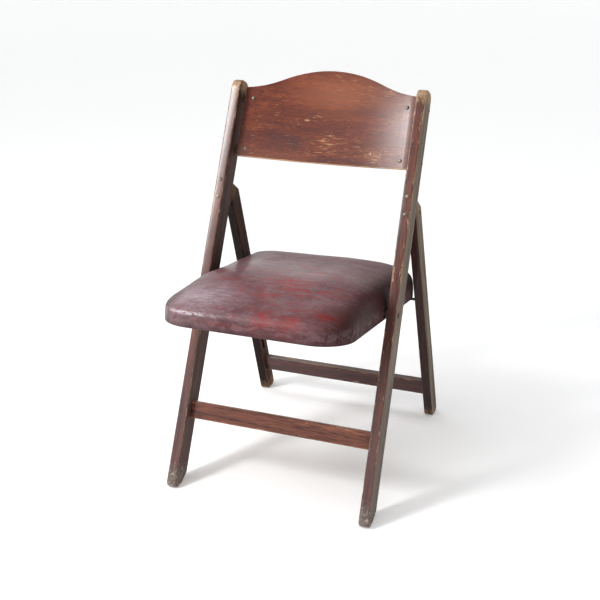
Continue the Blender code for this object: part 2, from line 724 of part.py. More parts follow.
def add_rod_clip(side_name, side, axes, steel):
    half = CLIP_WIDTH / 2
    place = (side * CLIP_X, ROD_Y, ROD_Z)
    clip = add_object(side_name + "_rod_clip", prism(clip_outline(), -half, half), axes, steel, place)
    for level, offset in CLIP_SCREW_OFFSETS.items():
        spot = (side * CLIP_X, ROD_Y + offset, FRAME_BOTTOM - 2 * GAP - CLIP_THICKNESS)
        cut(clip, bore_shape(CLIP_SCREW["shank"] + GAP, CLIP_SCREW_LENGTH), axes, spot)
        name = side_name + "_" + level + "_clip_screw"
        screw = add_object(name, rivet_shape(CLIP_SCREW, CLIP_SCREW_LENGTH), axes, steel, spot, DOWN)
        half_slot = SLOT_WIDTH / 2
        depth = (-OVERRUN, SLOT_DEPTH - CLIP_SCREW["dome"])
        cut(screw, box((-OVERRUN, OVERRUN), (-half_slot, half_slot), depth), axes, spot)


def build():
    clear_scene()
    wood = make_material("stained_timber", (0.13, 0.055, 0.035), 0.45)
    plywood = make_material("stained_plywood", (0.24, 0.075, 0.035), 0.35)
    bare_wood = make_material("bare_timber", (0.42, 0.28, 0.15), 0.7)
    steel = make_material("dull_steel", (0.35, 0.32, 0.28), 0.45, 1.0)
    dark_steel = make_material("blackened_steel", (0.08, 0.065, 0.055), 0.5, 1.0)
    leather = make_material("oxblood_leathercloth", (0.20, 0.075, 0.085), 0.5)

    lean_sin, lean_cos = math.sin(POST_LEAN), math.cos(POST_LEAN)
    post_axes = make_axes("post_axes", FOOT_Y, 0.0, -POST_LEAN)
    hinge_y = FOOT_Y + HINGE_UP_POST * lean_sin + HINGE_BACK * lean_cos
    leg_axes = make_axes("leg_axes", hinge_y, HINGE_HEIGHT, LEG_LEAN)
    pivot_y = FOOT_Y + PIVOT_UP_POST * lean_sin + PIVOT_BACK * lean_cos
    pivot_z = PIVOT_UP_POST * lean_cos - PIVOT_BACK * lean_sin
    seat_axes = make_axes("seat_axes", pivot_y, pivot_z, -SEAT_SLOPE)

    for side_name, side in SIDES.items():
        add_post(side_name, side, post_axes, wood)
        for level, height in PANEL_RIVET_HEIGHTS.items():
            add_panel_fixing(side_name + "_" + level, side, height, post_axes, steel)
        add_hinge_plate(side_name, side, post_axes, steel)
        add_hinge_rivets(side_name, side, post_axes, steel)
        add_rear_leg(side_name, side, leg_axes, wood)
        add_hinge_pin(side_name, side, leg_axes, dark_steel)
        add_pivot_bolt(side_name, side, seat_axes, dark_steel)
        add_pivot_spacer(side_name, side, seat_axes, steel)
        add_rod_clip(side_name, side, seat_axes, steel)
    add_back_panel(post_axes, plywood)
    add_stretcher("front_stretcher", post_axes, wood, FRONT_STRETCHER)
    add_stretcher("rear_stretcher", leg_axes, wood, REAR_STRETCHER)
    add_seat_frame(seat_axes, bare_wood)
    add_seat_deck(seat_axes, bare_wood)
    add_cushion(seat_axes, leather)
    add_rear_rod(seat_axes, steel)


build()
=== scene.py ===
"""The looks of a wooden folding chair with a padded leathercloth seat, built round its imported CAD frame.

Lengths are in metres. Local axes used below: posts (x, depth back, up the post), rear legs (x, depth back,
up the leg from its hinge) and seat (x, back, up from the seat's top plane), each as in the CAD model.
"""

import math

import bmesh
import bpy
import numpy as np
from mathutils import Matrix, Vector, noise


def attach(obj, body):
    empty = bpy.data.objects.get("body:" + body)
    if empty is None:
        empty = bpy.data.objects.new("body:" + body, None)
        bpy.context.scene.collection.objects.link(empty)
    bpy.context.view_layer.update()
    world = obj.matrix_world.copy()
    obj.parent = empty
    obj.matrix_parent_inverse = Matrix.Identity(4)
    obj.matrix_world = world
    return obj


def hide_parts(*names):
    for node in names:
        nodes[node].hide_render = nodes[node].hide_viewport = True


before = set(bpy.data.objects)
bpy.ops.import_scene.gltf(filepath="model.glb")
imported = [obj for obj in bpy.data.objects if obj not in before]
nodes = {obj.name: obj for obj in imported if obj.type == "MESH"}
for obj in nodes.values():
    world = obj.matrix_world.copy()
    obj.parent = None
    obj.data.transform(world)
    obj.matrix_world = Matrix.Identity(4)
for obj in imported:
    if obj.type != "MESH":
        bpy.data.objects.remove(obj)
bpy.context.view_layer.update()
scene = bpy.context.scene

# Local axes: place of the origin and turn about X.
POST_AXES = ((0.0, -0.2430, 0.0), math.radians(-26.0))
LEG_AXES = ((0.0, 0.113757, 0.558090), math.radians(18.0))
SEAT_AXES = ((0.0, -0.041928, 0.381462), math.radians(-9.0))

PANEL_BOTTOM = 0.7385  # up the posts

# Seat frame, in the seat's axes.
RAIL_HALF_WIDTH, RAIL_FRONT, RAIL_REAR = 0.1965, -0.268, 0.2355
RAIL_BOTTOM, DECK_TOP = -0.0115, 0.0148
FRONT_RADIUS, REAR_RADIUS = 0.073, 0.024


# ---------------------------------------------------------------------------------------------- node trees
class Tree:
    """A small builder of shader node trees. Arguments may be sockets or plain values."""

    def __init__(self, name):
        self.material = bpy.data.materials.new(name)
        self.material.use_nodes = True
        self.nodes, self.links = self.material.node_tree.nodes, self.material.node_tree.links
        self.nodes.clear()

    def add(self, kind, values=None, **settings):
        node = self.nodes.new("ShaderNode" + kind)
        for key, value in settings.items():
            setattr(node, key, value)
        for key, value in (values or {}).items():
            self.feed(node.inputs[key], value)
        return node

    def feed(self, socket, value):
        if isinstance(value, bpy.types.NodeSocket):
            self.links.new(value, socket)
        elif isinstance(value, tuple) and len(value) == 3 and socket.type == "RGBA":
            socket.default_value = (*value, 1.0)
        else:
            socket.default_value = value

    def math(self, operation, a, b=0.0, c=0.0):
        return self.add("Math", {0: a, 1: b, 2: c}, operation=operation).outputs[0]

    def times(self, *values):
        total = values[0]
        for value in values[1:]:
            total = self.math("MULTIPLY", total, value)
        return total

    def plus(self, *values):
        total = values[0]
        for value in values[1:]:
            total = self.math("ADD", total, value)
        return total

    def largest(self, *values):
        found = values[0]
        for value in values[1:]:
            found = self.math("MAXIMUM", found, value)
        return found

    def step(self, value, low, high, start=0.0, end=1.0):
        """Smooth change from start to end as value goes from low to high; low may be the larger."""
        if low > high:
            low, high, start, end = high, low, end, start
        names = {"Value": value, "From Min": low, "From Max": high, "To Min": start, "To Max": end}
        return self.add("MapRange", names, interpolation_type="SMOOTHSTEP").outputs[0]

    def patch(self, u, v, centre, reach, turn=0.0):
        """One at a point of the (u, v) plane, fading to none on an ellipse round it."""
        du = self.math("SUBTRACT", u, centre[0])
        dv = self.math("SUBTRACT", v, centre[1])
        c, s = math.cos(turn), math.sin(turn)
        along = self.plus(self.times(du, c / reach[0]), self.times(dv, s / reach[0]))
        across = self.plus(self.times(du, -s / reach[1]), self.times(dv, c / reach[1]))
        out = self.math("SQRT", self.plus(self.times(along, along), self.times(across, across)))
        return self.step(out, 1.0, 0.0)

    def local(self, axes):
        place, turn = axes
        rest = self.add("TexCoord").outputs["Object"]
        values = {"Vector": rest, "Location": place, "Rotation": (turn, 0.0, 0.0)}
        return self.add("Mapping", values, vector_type="TEXTURE").outputs[0]

    def split(self, vector):
        return self.add("SeparateXYZ", {0: vector}).outputs

    def scaled(self, vector, scale, shift=(0.0, 0.0, 0.0)):
        return self.add("Mapping", {"Vector": vector, "Scale": scale, "Location": shift}).outputs[0]

    def noise(self, vector, scale, detail=4.0, roughness=0.55, distortion=0.0):
        values = {"Vector": vector, "Scale": scale, "Detail": detail, "Roughness": roughness,
                  "Distortion": distortion}
        return self.add("TexNoise", values).outputs["Fac"]

    def cells(self, vector, feature="F1"):
        values = {"Vector": vector, "Scale": 1.0, "Randomness": 1.0}
        return self.add("TexVoronoi", values, feature=feature).outputs["Distance"]

    def mix(self, share, a, b):
        node = self.add("Mix", {"Factor": share}, data_type="RGBA", blend_type="MIX")
        self.feed(node.inputs[6], a)
        self.feed(node.inputs[7], b)
        return node.outputs[2]

    def ramp(self, value, stops):
        node = self.add("ValToRGB", {0: value})
        elements = node.color_ramp.elements
        while len(elements) < len(stops):
            elements.new(0.5)
        for element, (place, colour) in zip(elements, stops):
            element.position, element.color = place, (*colour, 1.0)
        return node.outputs[0]

    def tones(self, value, places, colours):
        return self.ramp(value, list(zip(places, colours)))

    def surface(self, colour, roughness, height=None, strength=0.4, depth=0.0004, coat=None, **constants):
        """The finished material. Constants are values on the shader's own sockets, named with underscores."""
        values = {"Base Color": colour, "Roughness": roughness}
        if coat is not None:
            values["Coat Weight"] = coat
        shader = self.add("BsdfPrincipled", values)
        for key, value in constants.items():
            shader.inputs[key.replace("_", " ")].default_value = value
        if height is not None:
            bump = self.add("Bump", {"Height": height, "Strength": strength, "Distance": depth})
            self.feed(shader.inputs["Normal"], bump.outputs[0])
        output = self.add("OutputMaterial")
        self.feed(output.inputs[0], shader.outputs[0])
        return self.material


def srgb(red, green, blue):
    """A linear colour from the 0 to 255 numbers of a display colour."""

    def linear(c):
        return ((c / 255 + 0.055) / 1.055) ** 2.4 if c > 10 else c / 255 / 12.92

    return linear(red), linear(green), linear(blue)


# ---------------------------------------------------------------------------------------------- timber
# Tones of the wood, from its darkest streaks to its palest.
STAIN = (srgb(52, 28, 24), srgb(95, 54, 45), srgb(121, 69, 53))
# Painted sheen on the outer faces.
PAINTED_SIDE_SHEEN = (srgb(80, 67, 56), srgb(112, 98, 85), srgb(137, 123, 107))
# Painted shade on the inner faces.
SHADED = (srgb(50, 35, 30), srgb(80, 55, 47), srgb(102, 74, 62))
BARE_WOOD = (srgb(118, 84, 58), srgb(172, 138, 104), srgb(208, 182, 148))
SCUFFED = (srgb(70, 61, 56), srgb(106, 96, 90), srgb(172, 165, 160))
PORE = srgb(34, 18, 16)
# Painted sheen on the upper faces of the stretchers.
PAINTED_TOP_SHEEN = srgb(122, 108, 101)
GREYED = srgb(84, 74, 77)


def inside(tree, value, extents):
    """How far a value lies within its extents."""
    low = tree.math("SUBTRACT", value, extents[0])
    high = tree.math("SUBTRACT", extents[1], value)
    return tree.math("MINIMUM", low, high)


def timber(name, axes, section, ends, along_x=False, shift=(0.0, 0.0, 0.0), wear=1.0, tones=STAIN, shine=0.5,
           specular=0.22):
    """Stained timber, with its lacquer worn through along its long edges and at its ends.

    section holds the extents of its two sides, and ends those of its length, which runs up the third axis.
    With along_x it runs along X instead, and the section's first side lies along the third axis.
    """
    tree = Tree(name)
    place = tree.local(axes)
    x, y, z = tree.split(place)
    side = tree.math("ABSOLUTE", x)
    first, length = (z, side) if along_x else (side, z)

    def grained(across, along, *settings):
        """Noise drawn out along the grain."""
        scale = (along, across, across) if along_x else (across, across, along)
        return tree.noise(tree.scaled(place, scale, shift), 1.0, *settings)

    def even(scale, *settings):
        return tree.noise(tree.scaled(place, (scale, scale, scale), shift), 1.0, *settings)

    streaks = grained(75.0, 5.0 if along_x else 4.0, 5.0, 0.6, 0.4)
    pores = grained(900.0, 30.0 if along_x else 26.0, 2.0, 0.6)
    chips = grained(260.0, 34.0, 3.0, 0.7)
    hairlines = grained(700.0, 22.0, 1.0, 0.5)
    fibre = even(160.0, 4.0, 0.65)
    broad = even(14.0, 3.0, 0.5)

    stain = tree.tones(streaks, (0.30, 0.50, 0.68), tones)
    stain = tree.mix(tree.step(pores, 0.54, 0.36, 0.0, 0.8), stain, PORE)
    normal = tree.split(tree.add("TexCoord").outputs["Normal"])
    if along_x:
        # The upper faces are painted paler as a painted sheen of the light from above.
        stain = tree.mix(tree.step(normal[2], 0.55, 0.85, 0.0, 0.75), stain, PAINTED_TOP_SHEEN)
        gloss, dullness = 0.45, 0.0
    else:
        # Outer faces get a dull grey brown painted sheen, inner ones are dull and dark with painted shade.
        outward = tree.times(normal[0], tree.math("SIGN", x))
        facing = tree.math("ABSOLUTE", outward)
        painted_side_sheen = tree.tones(streaks, (0.3, 0.52, 0.7), PAINTED_SIDE_SHEEN)
        stain = tree.mix(tree.step(outward, 0.45, 0.85), stain, painted_side_sheen)
        shaded = tree.tones(streaks, (0.3, 0.55, 0.72), SHADED)
        stain = tree.mix(tree.step(outward, -0.45, -0.85), stain, shaded)
        gloss, dullness = tree.step(facing, 0.85, 0.55, 0.0, shine), tree.step(facing, 0.55, 0.85, 0.0, 0.28)

    edge = tree.largest(inside(tree, first, section[0]), inside(tree, y, section[1]))
    rubbed = tree.times(tree.step(edge, 0.016, 0.001), 0.45 * wear)
    rubbed = tree.step(tree.plus(rubbed, tree.times(chips, 1.5), tree.times(broad, 0.9)), 1.70, 1.86)
    arris = tree.times(tree.step(edge, 0.0020, 0.0005), tree.step(chips, 0.42, 0.56), 0.6 * wear)
    tip = tree.plus(tree.step(inside(tree, length, ends), 0.060, 0.004), tree.times(fibre, 1.4))
    worn_tip = tree.times(tree.step(tip, 1.00, 1.75), 0.8 * wear)
    scratches = tree.times(tree.step(hairlines, 0.74, 0.80), tree.step(broad, 0.48, 0.62), 0.8)
    worn = tree.largest(rubbed, arris, worn_tip, scratches)
    weathering = tree.plus(tree.times(streaks, 0.6), tree.times(fibre, 0.4))
    bare = tree.tones(weathering, (0.32, 0.5, 0.68), BARE_WOOD)
    colour = tree.mix(tree.times(worn, 0.9), stain, bare)
    if axes is POST_AXES and not along_x:
        # The posts turn greyer downwards, to scuffed feet with pale nicks.
        colour = tree.mix(tree.step(z, 0.46, 0.16, 0.0, 0.34), colour, GREYED)
        foot = tree.step(tree.plus(tree.step(z, 0.105, 0.0), tree.times(fibre, 0.7)), 0.72, 1.12)
        colour = tree.mix(tree.times(foot, 0.8), colour, tree.tones(fibre, (0.3, 0.55, 0.72), SCUFFED))
    height = tree.plus(tree.times(streaks, 0.5), tree.times(pores, 0.35), tree.times(worn, -0.6),
                       tree.times(fibre, 0.2))
    roughness = tree.plus(0.30, tree.times(worn, 0.28), tree.times(fibre, 0.16), tree.times(broad, 0.08),
                          dullness)
    return tree.surface(colour, roughness, height, 0.28, 0.0004, coat=gloss, Specular_IOR_Level=specular,
                        Coat_Roughness=0.16)


def panel_plywood():
    """Stained plywood with flecked grain across the chair, clouds, scratches and thin worn edges."""
    tree = Tree("panel_plywood")
    place = tree.local(POST_AXES)
    x, y, z = tree.split(place)
    streaks = tree.noise(tree.scaled(place, (7.0, 60.0, 60.0), (1.7, 0.0, 4.2)), 1.0, 6.0, 0.62, 0.5)
    flecks = tree.noise(tree.scaled(place, (64.0, 500.0, 640.0)), 1.0, 2.0, 0.55)
    pores = tree.noise(tree.scaled(place, (60.0, 900.0, 1100.0), (3.0, 0.0, 1.0)), 1.0, 2.0, 0.6)
    clouds = tree.noise(tree.scaled(place, (11.0, 11.0, 16.0), (0.6, 0.0, 0.3)), 1.0, 3.0, 0.55)
    specks = tree.noise(tree.scaled(place, (240.0, 240.0, 300.0)), 1.0, 2.0, 0.5)
    orange = tree.tones(streaks, (0.28, 0.5, 0.72), (srgb(80, 31, 17), srgb(107, 45, 23), srgb(130, 63, 31)))
    colour = tree.mix(tree.step(flecks, 0.56, 0.40, 0.0, 0.68), orange, srgb(74, 28, 21))
    colour = tree.mix(tree.step(pores, 0.42, 0.30), colour, srgb(50, 20, 18))
    plum = srgb(64, 28, 28)
    shade = tree.largest(tree.patch(x, z, (-0.085, 0.785), (0.105, 0.040), -0.15),
                         tree.times(tree.patch(x, z, (0.090, 0.858), (0.075, 0.034), -0.45), 0.8),
                         tree.times(tree.patch(x, z, (0.03, 0.745), (0.20, 0.018)), 0.75))
    shade = tree.largest(tree.times(shade, tree.step(clouds, 0.34, 0.60)),
                         tree.step(clouds, 0.60, 0.74, 0.0, 0.55))
    colour = tree.mix(tree.times(shade, 0.85), colour, plum)
    # The upper part is painted lighter as a painted glow of light.
    painted_glow = tree.patch(x, z, (0.02, 0.90), (0.16, 0.07))
    colour = tree.mix(tree.times(painted_glow, 0.52), colour, srgb(152, 90, 60))

    # Scratches along the grain, thick in two clusters in the lower half, and a few elsewhere.
    lines = tree.noise(tree.scaled(place, (46.0, 300.0, 620.0), (0.0, 0.0, 7.7)), 1.0, 3.0, 0.66, 0.3)
    first = tree.patch(x, z, (0.014, 0.778), (0.066, 0.050), -0.5)
    second = tree.patch(x, z, (0.120, 0.760), (0.044, 0.036), -0.3)
    low = tree.times(tree.patch(x, z, (-0.065, 0.757), (0.11, 0.020)), 0.45)
    loose = tree.times(tree.step(clouds, 0.46, 0.62), 0.40)
    thick = tree.largest(first, second, low, loose)
    scratched = tree.times(tree.step(tree.plus(lines, tree.times(thick, 0.12)), 0.63, 0.73),
                           tree.step(thick, 0.05, 0.45, 0.0, 0.74))
    dots = tree.times(tree.step(specks, 0.735, 0.765), 0.7)
    nick = tree.patch(x, z, (-0.047, 0.834), (0.010, 0.0035))
    chip = tree.times(tree.patch(x, z, (0.113, 0.768), (0.010, 0.006)), tree.step(specks, 0.42, 0.52))

    # The veneer has rubbed off along the top and bottom edges.
    swing = tree.noise(tree.scaled(place, (38.0, 38.0, 38.0), (5.0, 5.0, 5.0)), 1.0, 3.0, 0.6)
    lowest = tree.step(z, PANEL_BOTTOM + 0.0035, PANEL_BOTTOM + 0.0005)
    hem = tree.step(tree.plus(lowest, swing), 0.95, 1.25)
    normal = tree.split(tree.add("TexCoord").outputs["Normal"])
    lean = -POST_AXES[1]
    up_post = tree.plus(tree.times(normal[1], math.sin(lean)), tree.times(normal[2], math.cos(lean)))
    rim = tree.step(tree.plus(tree.math("ABSOLUTE", up_post), tree.times(swing, 0.5)), 0.62, 0.95)
    worn = tree.largest(scratched, dots, nick, chip, hem, rim)
    bare = tree.ramp(streaks, [(0.3, srgb(160, 116, 80)), (0.6, srgb(206, 166, 118))])
    colour = tree.mix(tree.times(worn, 0.82), colour, bare)
    height = tree.plus(tree.times(streaks, 0.35), tree.times(flecks, 0.35), tree.times(pores, 0.3),
                       tree.times(worn, -0.8))
    roughness = tree.plus(0.36, tree.times(worn, 0.35), tree.times(clouds, 0.14), tree.times(flecks, 0.10))
    # The lacquer is thickest at the end on the sitter's left.
    lacquer = tree.step(x, 0.07, 0.165, 0.37, 1.0)
    return tree.surface(colour, roughness, height, 0.22, 0.0003, coat=lacquer, Specular_IOR_Level=0.14,
                        Coat_IOR=1.7, Coat_Roughness=0.15)


def plain_timber():
    """Unfinished sawn timber of the seat's rails and the deck, seen only from below."""
    tree = Tree("bare_timber_look")
    place = tree.local(SEAT_AXES)
    rings = tree.noise(tree.scaled(place, (6.0, 55.0, 55.0)), 1.0, 5.0, 0.6, 0.6)
    fibre = tree.noise(tree.scaled(place, (60.0, 700.0, 700.0)), 1.0, 3.0, 0.6)
    stains = tree.noise(tree.scaled(place, (12.0, 12.0, 12.0), (2.0, 3.0, 4.0)), 1.0, 4.0, 0.6)
    colour = tree.tones(rings, (0.28, 0.5, 0.72),
                        (srgb(116, 84, 54), srgb(156, 122, 84), srgb(182, 150, 108)))
    colour = tree.mix(tree.step(fibre, 0.50, 0.34, 0.0, 0.6), colour, srgb(92, 64, 42))
    colour = tree.mix(tree.step(stains, 0.50, 0.72, 0.0, 0.55), colour, srgb(84, 66, 52))
    height = tree.plus(tree.times(rings, 0.4), tree.times(fibre, 0.6))
    roughness = tree.plus(0.62, tree.times(fibre, 0.2))
    return tree.surface(colour, roughness, height, 0.5, 0.0006, Specular_IOR_Level=0.3)


# ---------------------------------------------------------------------------------------------- metal
def steel(name, bright, dull, rust, shine, shift):
    """Tarnished plated steel, with darker blotches, fine scratches and rust in its hollows."""
    tree = Tree(name)
    place = tree.add("TexCoord").outputs["Object"]
    blotch = tree.noise(tree.scaled(place, (130.0, 130.0, 130.0), shift), 1.0, 4.0, 0.6)
    grit = tree.noise(tree.scaled(place, (1200.0, 1200.0, 1200.0), shift), 1.0, 3.0, 0.6)
    lines = tree.noise(tree.scaled(place, (300.0, 2400.0, 900.0), shift), 1.0, 2.0, 0.5)
    colour = tree.mix(tree.step(blotch, 0.35, 0.65), bright, dull)
    eaten = tree.step(tree.plus(blotch, tree.times(grit, 0.5)), 0.78, 0.96)
    colour = tree.mix(tree.times(eaten, 0.75), colour, rust)
    colour = tree.mix(tree.step(lines, 0.62, 0.72, 0.0, 0.35), colour, bright)
    roughness = tree.plus(shine, tree.times(eaten, 0.35), tree.times(grit, 0.2))
    height = tree.plus(tree.times(grit, 0.6), tree.times(eaten, 0.5), tree.times(lines, 0.3))
    return tree.surface(colour, roughness, height, 0.25, 0.0002, Metallic=0.85)


# ---------------------------------------------------------------------------------------------- leathercloth
def leathercloth():
    """Oxblood leathercloth, faded grey where it was sat on, with redder patches, streaks and fine cracks."""
    tree = Tree("leathercloth_cover")
    place = tree.local(SEAT_AXES)
    x, y, z = tree.split(place)
    clouds = tree.noise(tree.scaled(place, (11.0, 11.0, 11.0), (1.0, 5.0, 0.0)), 1.0, 4.0, 0.6, 0.8)
    streaks = tree.noise(tree.scaled(place, (19.0, 62.0, 40.0), (4.0, 1.0, 2.0)), 1.0, 5.0, 0.64, 1.6)
    wisps = tree.noise(tree.scaled(place, (48.0, 170.0, 110.0), (7.0, 3.0, 1.0)), 1.0, 4.0, 0.62, 1.2)
    mottle = tree.noise(tree.scaled(place, (60.0, 60.0, 60.0)), 1.0, 5.0, 0.65, 0.6)
    grain = tree.cells(tree.scaled(place, (620.0, 620.0, 620.0)))
    pebble = tree.noise(tree.scaled(place, (900.0, 900.0, 900.0)), 1.0, 2.0, 0.5)
    maroon = srgb(54, 25, 23)
    red = srgb(142, 36, 36)
    colour = tree.tones(clouds, (0.30, 0.50, 0.68), (srgb(90, 58, 62), srgb(107, 77, 81), srgb(122, 99, 103)))
    colour = tree.mix(tree.step(y, 0.03, 0.17, 0.0, 0.40), colour, srgb(84, 46, 48))
    colour = tree.mix(tree.step(y, -0.17, -0.24, 0.0, 0.35), colour, srgb(90, 38, 38))
    colour = tree.mix(tree.step(wisps, 0.50, 0.66, 0.0, 0.6), colour, srgb(124, 104, 108))
    colour = tree.mix(tree.step(mottle, 0.48, 0.32, 0.0, 0.6), colour, srgb(78, 52, 56))
    colour = tree.mix(tree.step(mottle, 0.54, 0.66, 0.0, 0.4), colour, srgb(126, 110, 110))
    greyed = tree.times(tree.step(streaks, 0.44, 0.30), tree.step(wisps, 0.38, 0.60))
    colour = tree.mix(tree.times(greyed, 0.85), colour, srgb(110, 102, 102))

    # Redder dye shows in long streaks across the seat, and in rubbed patches near its front edge.
    middle = tree.patch(x, y, (0.03, -0.10), (0.24, 0.20))
    streaky = tree.plus(streaks, tree.times(wisps, 0.42), tree.times(middle, 0.05))
    streaky = tree.times(tree.step(streaky, 0.70, 0.86), tree.plus(0.26, tree.times(middle, 0.55)))
    colour = tree.mix(streaky, colour, srgb(136, 48, 46))
    front_edge = -0.262
    rubbed = tree.patch(x, y, (0.032, front_edge), (0.036, 0.036), 0.3)
    for centre, reach, turn, share in (((0.080, front_edge), (0.048, 0.026), 0.0, 0.85),
                                       ((0.152, -0.226), (0.040, 0.022), 0.2, 0.95),
                                       ((0.110, -0.222), (0.060, 0.013), 0.1, 0.6),
                                       ((0.052, -0.045), (0.040, 0.022), 0.5, 0.65),
                                       ((0.045, -0.110), (0.050, 0.020), 0.3, 0.65)):
        rubbed = tree.largest(rubbed, tree.times(tree.patch(x, y, centre, reach, turn), share))
    low_red = tree.times(tree.patch(x, z, (-0.055, 0.004), (0.085, 0.008)), 0.85)
    rubbed = tree.largest(rubbed, tree.times(low_red, tree.step(y, -0.255, -0.265)))
    rubbed = tree.times(rubbed, tree.step(tree.plus(streaks, tree.times(wisps, 0.6)), 0.62, 0.92))
    colour = tree.mix(rubbed, colour, red)
    brown = tree.times(tree.step(x, 0.10, 0.19), tree.step(y, 0.16, 0.02),
                       tree.step(wisps, 0.36, 0.56, 0.35, 1.0))
    colour = tree.mix(tree.times(brown, 0.90), colour, srgb(68, 26, 22))

    # At the front, on the sitter's right, a paler painted sheen, and a painted glint along the shoulder
    # there.
    painted_sheen = tree.times(tree.patch(x, y, (-0.125, -0.215), (0.13, 0.085), 0.1),
                      tree.step(wisps, 0.36, 0.60, 0.45, 1.0))
    colour = tree.mix(tree.times(painted_sheen, 0.72), colour, srgb(174, 156, 164))

    # The side bands and the front kept more of their dye.
    side = tree.step(tree.math("ABSOLUTE", x), 0.150, 0.190)
    colour = tree.mix(tree.times(side, 0.85), colour, maroon)
    front = tree.step(z, 0.028, 0.004)
    band = tree.mix(tree.step(streaks, 0.42, 0.62), srgb(66, 40, 42), srgb(104, 84, 86))
    colour = tree.mix(tree.times(front, 0.62), colour, band)
    # Below the seat's top plane the cover is darker towards the rails' bottom.
    colour = tree.mix(tree.times(tree.step(z, 0.0, RAIL_BOTTOM), 0.6), colour, srgb(58, 36, 38))
    # A painted highlight along the front shoulder on the sitter's right.
    glint = tree.times(tree.patch(x, z, (-0.125, 0.0175), (0.090, 0.0055)), tree.step(wisps, 0.38, 0.56),
                       tree.step(y, -0.250, -0.260), 0.75)
    colour = tree.mix(glint, colour, srgb(200, 188, 196))

    cracks = tree.cells(tree.scaled(place, (85.0, 120.0, 85.0), (2.0, 0.0, 0.0)), "DISTANCE_TO_EDGE")
    fine = tree.cells(tree.scaled(place, (210.0, 260.0, 210.0)), "DISTANCE_TO_EDGE")
    cracked = tree.largest(tree.times(tree.step(cracks, 0.045, 0.0), tree.step(mottle, 0.48, 0.62)),
                           tree.times(tree.step(fine, 0.06, 0.0), tree.step(clouds, 0.50, 0.64), 0.55))
    colour = tree.mix(tree.times(cracked, 0.5), colour, srgb(70, 42, 46))
    height = tree.plus(tree.times(grain, 0.45), tree.times(pebble, 0.25), tree.times(cracked, -0.9),
                       tree.times(mottle, 0.8))
    roughness = tree.plus(0.30, tree.times(mottle, 0.22), tree.times(rubbed, -0.05), tree.times(cracked, 0.2),
                          tree.step(x, 0.15, 0.19, 0.0, 0.25))
    gloss = tree.times(tree.step(x, 0.17, 0.02, 0.08, 0.40), tree.step(z, -0.004, 0.020, 0.3, 1.0),
                       tree.step(y, -0.02, 0.14, 1.0, 0.25))
    return tree.surface(colour, roughness, height, 0.42, 0.0006, coat=gloss, Specular_IOR_Level=0.12,
                        Coat_Roughness=0.22)


# ---------------------------------------------------------------------------------------------- seat cover
COVER_OUTSET = 0.0018  # of the cover's outer face from the rails
COVER_CLOTH = 0.0005
HEM_OUTER = -0.01205
HEM_WIDTH = 0.025
REAR_HEM_WIDTH = 0.005
HEM_FLOOR = -0.0118  # the cover's points below this lie flat in the hem
# Rings of the hem, from its free edge to where it turns up: how far in from the band, and how far up.
HEM_RINGS = ((HEM_WIDTH, 0.0), (HEM_WIDTH / 2, 0.0), (0.002, 0.0), (0.0005, 0.00024), (0.0, 0.0012))
BAND_RINGS = (-0.0065, -0.0005, 0.0055, 0.0105)  # heights of the rings on the side band
SLUMP = 0.220  # how far back the padding reaches its full height
# Inset from the side band, height above the deck at the full height, and height at the front edge.
PROFILE = ((0.0, 0.0000, 0.0000), (0.0, 0.0100, 0.0030), (0.0014, 0.0185, 0.0058), (0.0042, 0.0262, 0.0088),
           (0.0090, 0.0328, 0.0118), (0.0155, 0.0382, 0.0144), (0.0240, 0.0426, 0.0166),
           (0.0350, 0.0466, 0.0183), (0.0490, 0.0505, 0.0196), (0.0645, 0.0538, 0.0204),
           (0.0805, 0.0560, 0.0209), (0.0965, 0.0573, 0.0213))
CROWN_RISE = (0.0014, 0.0006)  # of the grid inside the last ring, above it, in the same two heights
GRID_ROUNDS, BLEND_ROUNDS = 30, 24
ARC_FRONT, EDGE_FRONT, ARC_REAR, EDGE_REAR, EDGE_SIDE = 16, 36, 8, 44, 48

PUFF_FRAMES = 20
PUFF_PRESSURE = 4.0
COVER_MOST_MOVE = 0.0034  # how far the simulation may move a point
MOVE_ROUNDS, TOP_ROUNDS = 60, 20

# Limits set by the neighbouring pieces.
COVER_HALF_WIDTH, COVER_FRONT, COVER_REAR = 0.1989, -0.2704, 0.2374


def clamp(value, low, high):
    return min(max(value, low), high)


def smooth(value, low, high):
    t = clamp((value - low) / (high - low), 0.0, 1.0)
    return t * t * (3 - 2 * t)


def outline(inset, front_radius=None, rear_radius=None):
    """Points round the seat at an inset from its rails, from the middle of the front arc on the +X side.

    They run anticlockwise, seen from above.
    """
    half = RAIL_HALF_WIDTH - inset
    front, rear = RAIL_FRONT + inset, RAIL_REAR - inset
    if front_radius is None:
        front_radius = FRONT_RADIUS - 0.5 * inset
    if rear_radius is None:
        rear_radius = max(REAR_RADIUS - 0.1 * inset, 0.004)
    # The centres of the two arcs on the +X side.
    front_x, front_y = half - front_radius, front + front_radius
    rear_x, rear_y = half - rear_radius, rear - rear_radius
    points = []

    def arc(x, y, radius, start, end, steps):
        for i in range(steps):
            angle = start + (end - start) * i / steps
            points.append((x + radius * math.cos(angle), y + radius * math.sin(angle)))

    def line(x0, y0, x1, y1, steps):
        for i in range(steps):
            points.append((x0 + (x1 - x0) * i / steps, y0 + (y1 - y0) * i / steps))

    turn = math.pi / 2
    arc(front_x, front_y, front_radius, -turn / 2, 0.0, ARC_FRONT // 2)
    line(half, front_y, half, rear_y, EDGE_SIDE)
    arc(rear_x, rear_y, rear_radius, 0.0, turn, ARC_REAR)
    line(rear_x, rear, -rear_x, rear, EDGE_REAR)
    arc(-rear_x, rear_y, rear_radius, turn, 2 * turn, ARC_REAR)
    line(-half, rear_y, -half, front_y, EDGE_SIDE)
    arc(-front_x, front_y, front_radius, 2 * turn, 3 * turn, ARC_FRONT)
    line(-front_x, front, front_x, front, EDGE_FRONT)
    arc(front_x, front_y, front_radius, 3 * turn, 3.5 * turn, ARC_FRONT // 2)
    return points


def cover_height(y, full, front):
    fullness = smooth(y, RAIL_FRONT, RAIL_FRONT + SLUMP)
    return DECK_TOP + 0.0006 + front + (full - front) * fullness


